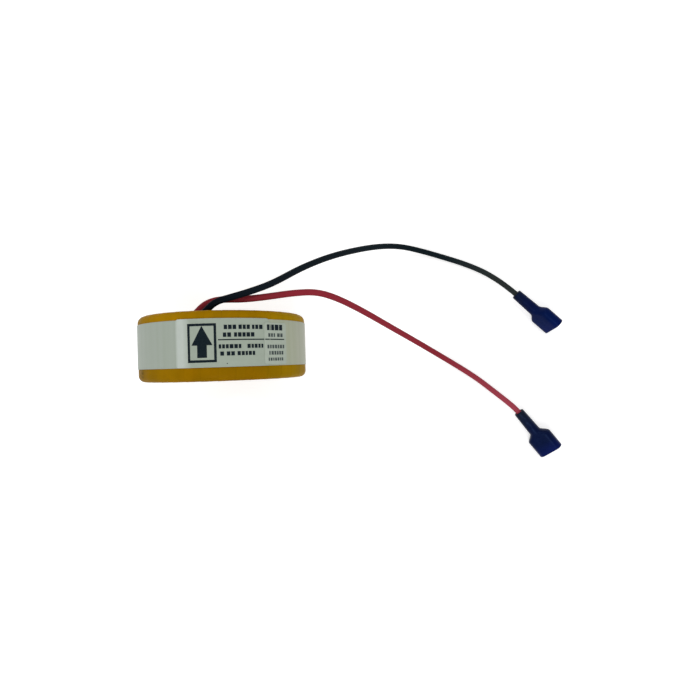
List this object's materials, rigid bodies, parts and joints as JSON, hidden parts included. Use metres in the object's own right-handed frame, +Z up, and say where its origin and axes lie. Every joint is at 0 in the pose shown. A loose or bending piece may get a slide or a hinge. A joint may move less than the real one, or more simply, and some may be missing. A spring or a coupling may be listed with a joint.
{
  "type": "toroidal current transformer",
  "caption": "Tape-wrapped toroidal current transformer with an open bore for a primary cable, a white label band on its rim, and red and black leads in insulated push-on terminals.",
  "frame": {"origin": "on the floor, under the middle of the ring, which rests on its rim", "axes": "+Z up, +Y along the ring's axis towards the face that the leads leave, +X towards the terminals"},
  "size_m": [0.1737, 0.0968, 0.0634],
  "materials": {
    "yellow_tape": "semi-gloss polyester tape",
    "band_white": "satin white film",
    "label_white": "satin printed label",
    "label_bright": "satin label",
    "core_steel": "wound silicon steel strip",
    "nylon": "moulded",
    "enamelled_copper": "clear enamel",
    "solder": "satin",
    "red_vinyl": "satin",
    "black_vinyl": "satin",
    "bare_copper": "bright strands",
    "blue_vinyl": "glossy translucent blue",
    "tinned_brass": "tin plated"
  },
  "bodies": {
    "root": {"outer_wrap": "yellow_tape", "label_band": "band_white", "rating_label": "label_white", "date_label": "label_bright", "steel_core": "core_steel", "front_core_cap": "nylon", "back_core_cap": "nylon", "secondary_winding": "enamelled_copper", "red_lead_joint": "solder", "black_lead_joint": "solder", "red_lead": "red_vinyl", "black_lead": "black_vinyl", "red_lead_strands": "bare_copper", "red_terminal_sleeve": "blue_vinyl", "red_terminal_receptacle": "tinned_brass", "red_terminal_ferrule": "tinned_brass", "black_lead_strands": "bare_copper", "black_terminal_sleeve": "blue_vinyl", "black_terminal_receptacle": "tinned_brass", "black_terminal_ferrule": "tinned_brass"}
  },
  "joints": []
}
